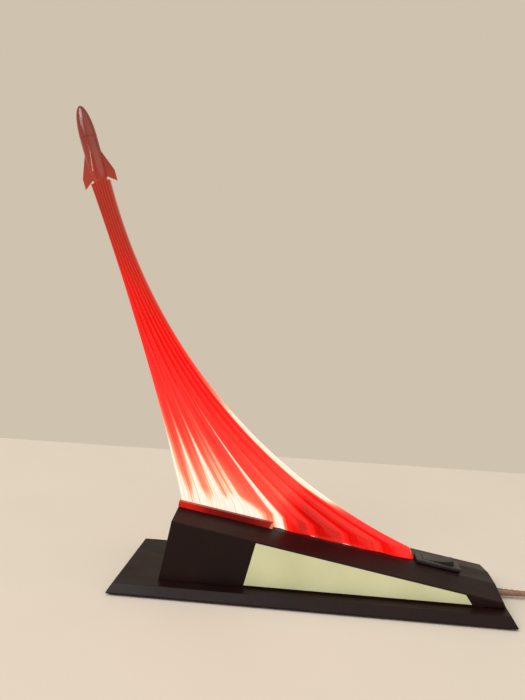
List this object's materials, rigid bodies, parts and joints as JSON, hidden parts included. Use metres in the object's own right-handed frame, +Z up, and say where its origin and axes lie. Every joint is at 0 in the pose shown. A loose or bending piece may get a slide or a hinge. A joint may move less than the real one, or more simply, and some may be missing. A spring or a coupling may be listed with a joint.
{
  "type": "night light",
  "caption": "Night light: a dark wedge base with a lamp inside lights a fluted red acrylic plume that sweeps up to a small rocket.",
  "frame": {"origin": "middle of the bottom cover's underside; the rubber feet reach 1.5 mm below it", "axes": "+X along the base towards its low end and the cord, +Z up along the plume, +Y to the back, the camera on the -Y side"},
  "size_m": [0.4767, 0.1297, 0.3585],
  "materials": {
    "moulded_shell": "very dark maroon moulding, satin gloss",
    "ivory_panel": "plain ivory, semi-matt",
    "red_acrylic": "clear red acrylic, polished, lit from its foot",
    "rocket_acrylic": "clear red acrylic, polished, faintly lit through the plume",
    "zinc_steel": "zinc plated",
    "lamp_glass": "clear",
    "brass": "bright",
    "lit_filament": "glass stem with steel supports and a lit filament",
    "black_plastic": "fine texture",
    "foot_rubber": "matt",
    "lead_sheath": "brown vinyl sheath",
    "red_wire": "vinyl covering",
    "blue_wire": "vinyl covering"
  },
  "bodies": {
    "base": {"plinth": "moulded_shell", "bottom_cover": "black_plastic", "rubber_foot_left_front": "foot_rubber", "rubber_foot_left_back": "foot_rubber", "rubber_foot_right_front": "foot_rubber", "rubber_foot_right_back": "foot_rubber", "cover_screw_left_front": "zinc_steel", "cover_screw_left_back": "zinc_steel", "cover_screw_right_front": "zinc_steel", "cover_screw_right_back": "zinc_steel", "housing": "moulded_shell", "side_panel_front": "ivory_panel", "side_panel_back": "ivory_panel", "plume": "red_acrylic", "rocket": "rocket_acrylic", "glow_strip_front": "red_acrylic", "glow_strip_back": "red_acrylic", "plume_clamp_front": "zinc_steel", "plume_clamp_back": "zinc_steel", "clamp_screw_upper": "zinc_steel", "clamp_screw_lower": "zinc_steel", "bulb_glass": "lamp_glass", "bulb_cap": "brass", "bulb_stem": "lit_filament", "lampholder_body": "ivory_panel", "lampholder_sleeve": "brass", "lampholder_contact": "brass", "lampholder_bracket": "zinc_steel", "lampholder_screw": "zinc_steel", "reflector": "zinc_steel", "switch_housing": "black_plastic", "switch_terminal_feed": "brass", "switch_terminal_load": "brass", "terminal_block": "ivory_panel", "cord_clamp": "black_plastic", "clamp_saddle_screw_front": "zinc_steel", "clamp_saddle_screw_back": "zinc_steel", "mains_core_live": "red_wire", "mains_core_neutral": "blue_wire", "inner_lead": "lead_sheath", "neutral_wire": "blue_wire", "live_wire": "red_wire", "switched_wire": "red_wire", "cord_entry": "lead_sheath", "mains_cord": "lead_sheath", "cord_coil": "lead_sheath", "cord_tail": "lead_sheath", "cord_tie": "black_plastic", "plug_body": "black_plastic", "plug_pin_left": "brass", "plug_pin_right": "brass"},
    "rocker": {"switch_rocker": "black_plastic"},
    "contact_bridge": {"switch_contact": "brass"}
  },
  "joints": [
    {"name": "switch_rock", "type": "hinge", "parent": "base", "child": "rocker", "pos_m": [0.09676, 0, 0.02391], "axis": [0, 1, 0], "range_deg": [0, 16]},
    {"name": "contact_tilt", "type": "hinge", "parent": "base", "child": "contact_bridge", "pos_m": [0.09507, 0, 0.01365], "axis": [0, 1, 0], "range_deg": [-10, 0]}
  ],
  "couplings": [
    {"joint": "contact_tilt", "follows": "switch_rock", "ratio": -0.625}
  ]
}
